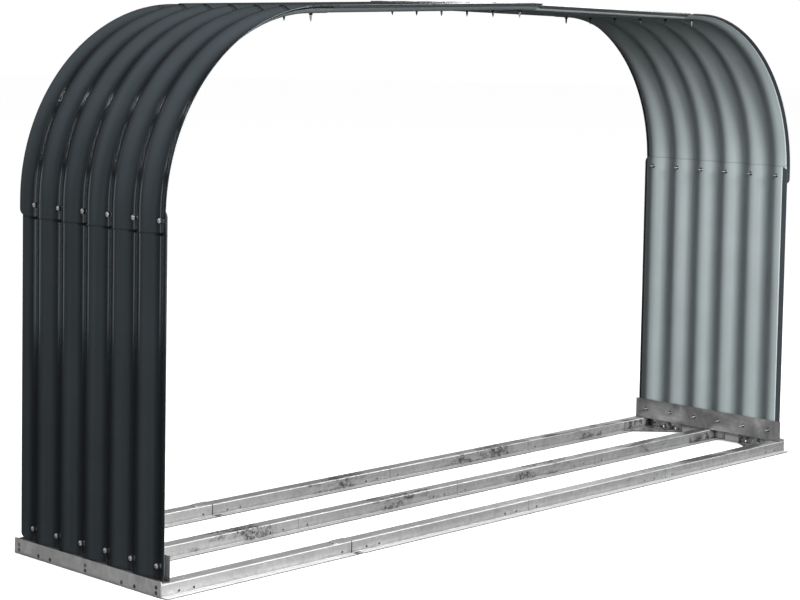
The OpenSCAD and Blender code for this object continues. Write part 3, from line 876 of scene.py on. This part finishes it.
def paintedFloorShadow(tree):
    # painted shadow: 1 in the strip of floor behind each rail
    x, y, z = addNode(tree, "ShaderNodeSeparateXYZ", {
        0: tree.nodes.new("ShaderNodeTexCoord").outputs["Object"]}).outputs
    deep, end = studio["shadeDeep"], studio["shadeEnd"]

    def strip(across, start, alongside, low, high):
        fade = rangeNode(tree, across, start + end, start + deep)
        begun = mathNode(tree, "GREATER_THAN", across, start)
        return times(tree, bandNode(tree, alongside, low, high), times(tree, fade, begun))

    total = 0.0
    half = cadBox[1][0]
    for name in ("front_rail_1", "middle_rail_1", "back_rail_1"):
        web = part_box(name)[0].y + railFinish["lipDeep"]
        total = larger(tree, total, strip(y, web, x, end - half, half))
    lean = times(tree, mathNode(tree, "ADD", x, half), studio["shadeSlant"])
    slant = mathNode(tree, "SUBTRACT", y, lean)
    beside = times(tree, strip(x, -half, slant, 2 * plateLow.y, plateHigh.y),
                   bandNode(tree, y, plateLow.y, plateHigh.y + end))
    return larger(tree, total, beside)


def makeStage():
    half = studio["floorSize"] / 2
    mesh = bpy.data.meshes.new("floor")
    corners = [(-half, -half, 0), (half, -half, 0), (half, half, 0), (-half, half, 0)]
    mesh.from_pydata(corners, [], [(0, 1, 2, 3)])
    floor = bpy.data.objects.new("floor", mesh)
    bpy.context.scene.collection.objects.link(floor)
    mesh.materials.append(glow("paleFloor", studio["floorColour"], studio["floorGlow"]))
    tree = mesh.materials[0].node_tree
    shader = tree.nodes["Principled BSDF"]
    # painted contact shadow: the floor's glow fades next to the base
    contactShade = addNode(tree, "ShaderNodeAmbientOcclusion", {"Distance": studio["contact"]}, samples=8)
    lit = rangeNode(tree, contactShade.outputs["AO"], *studio["contactFrom"], 0.0, studio["floorGlow"])
    shaded = rangeNode(tree, paintedFloorShadow(tree), 0, 1, 1.0, studio["shade"])
    tree.links.new(times(tree, lit, shaded), shader.inputs["Emission Strength"])
    # the painted shadow darkens the floor's colour as well as its glow
    dark = tuple(c * studio["shade"] for c in studio["floorColour"][:3]) + (1,)
    paint = mixColour(tree, paintedFloorShadow(tree), studio["floorColour"], dark)
    tree.links.new(paint, shader.inputs["Base Color"])
    floor.visible_diffuse = floor.visible_glossy = False

    bpy.ops.mesh.primitive_uv_sphere_add(segments=48, ring_count=24, radius=half * studio["domeShare"])
    dome = bpy.context.object
    dome.name = "backdrop"
    dome.data.materials.append(glow("paleBackdrop", (0, 0, 0, 1), 1.0))
    dome.visible_diffuse = dome.visible_glossy = dome.visible_shadow = False

    world = bpy.data.worlds.new("softRoom")
    world.use_nodes = True
    world.node_tree.nodes["Background"].inputs["Color"].default_value = (1, 1, 1, 1)
    world.node_tree.nodes["Background"].inputs["Strength"].default_value = studio["skyLight"]
    bpy.context.scene.world = world
    bpy.context.scene.view_settings.view_transform = "Standard"


def softLight(name, azimuth, elevation, distance, size, power, card=False, haze=False):
    # azimuth is from the front (-Y) towards the left (-X); a card is a cool strip seen only as a reflection,
    # and haze is never seen as one
    back = Vector((-math.sin(deg(azimuth)) * math.cos(deg(elevation)),
                   -math.cos(deg(azimuth)) * math.cos(deg(elevation)), math.sin(deg(elevation))))
    light = bpy.data.lights.new(name, "AREA")
    light.shape = "RECTANGLE"
    light.size, light.size_y = size
    light.energy = power
    lamp = bpy.data.objects.new(name, light)
    bpy.context.scene.collection.objects.link(lamp)
    if card:
        light.color = studio["cardColour"]
        lamp.visible_diffuse = False
    lamp.visible_glossy = not haze
    lamp.location = Vector((0, 0, studio["aimHeight"])) + back * distance
    lamp.rotation_mode = "QUATERNION"
    lamp.rotation_quaternion = (-back).to_track_quat("-Z", "Y")


lights = dict(
    key=dict(azimuth=8, elevation=25, distance=5.0, size=(1.6, 2.4), power=295),
    left=dict(azimuth=36, elevation=20, distance=3.4, size=(0.7, 1.4), power=68),
    side=dict(azimuth=90, elevation=6, distance=4.0, size=(2.0, 1.2), power=9, haze=True),
    right=dict(azimuth=-60, elevation=34, distance=4.0, size=(0.9, 0.9), power=24),
    behind=dict(azimuth=-120, elevation=30, distance=4.0, size=(1.0, 1.0), power=18),
    wallCard=dict(azimuth=135, elevation=0, distance=3.1, size=(1.3, 0.95), power=4.2, card=True),
    curveCard=dict(azimuth=139.6, elevation=19.5, distance=5.7, size=(0.40, 1.6), power=13, card=True),
    flashCard=dict(azimuth=151, elevation=33, distance=6.6, size=(0.15, 0.6), power=13, card=True),
)

camera = dict(
    place=(-3.44407, -3.18121, 1.07259),
    heading=45.894,     # from +Y towards +X
    tilt=-4.211,
    roll=1.026,
    lens=95.84,
    shiftY=-0.1625,
)


def makeCamera():
    data = bpy.data.cameras.new("camera")
    made = bpy.data.objects.new("camera", data)
    bpy.context.scene.collection.objects.link(made)
    heading, tilt = deg(camera["heading"]), deg(camera["tilt"])
    level = math.cos(tilt)
    forward = Vector((math.sin(heading) * level, math.cos(heading) * level, math.sin(tilt)))
    made.location = camera["place"]
    made.rotation_mode = "QUATERNION"
    made.rotation_quaternion = forward.to_track_quat("-Z", "Y") @ Quaternion((0, 0, 1), deg(camera["roll"]))
    data.sensor_width = 36
    data.lens = camera["lens"]
    data.shift_y = camera["shiftY"]
    data.clip_end = 100
    bpy.context.scene.camera = made


makeStage()
for name, values in lights.items():
    softLight(name, **values)
makeCamera()
print("stage, lights and camera ready")
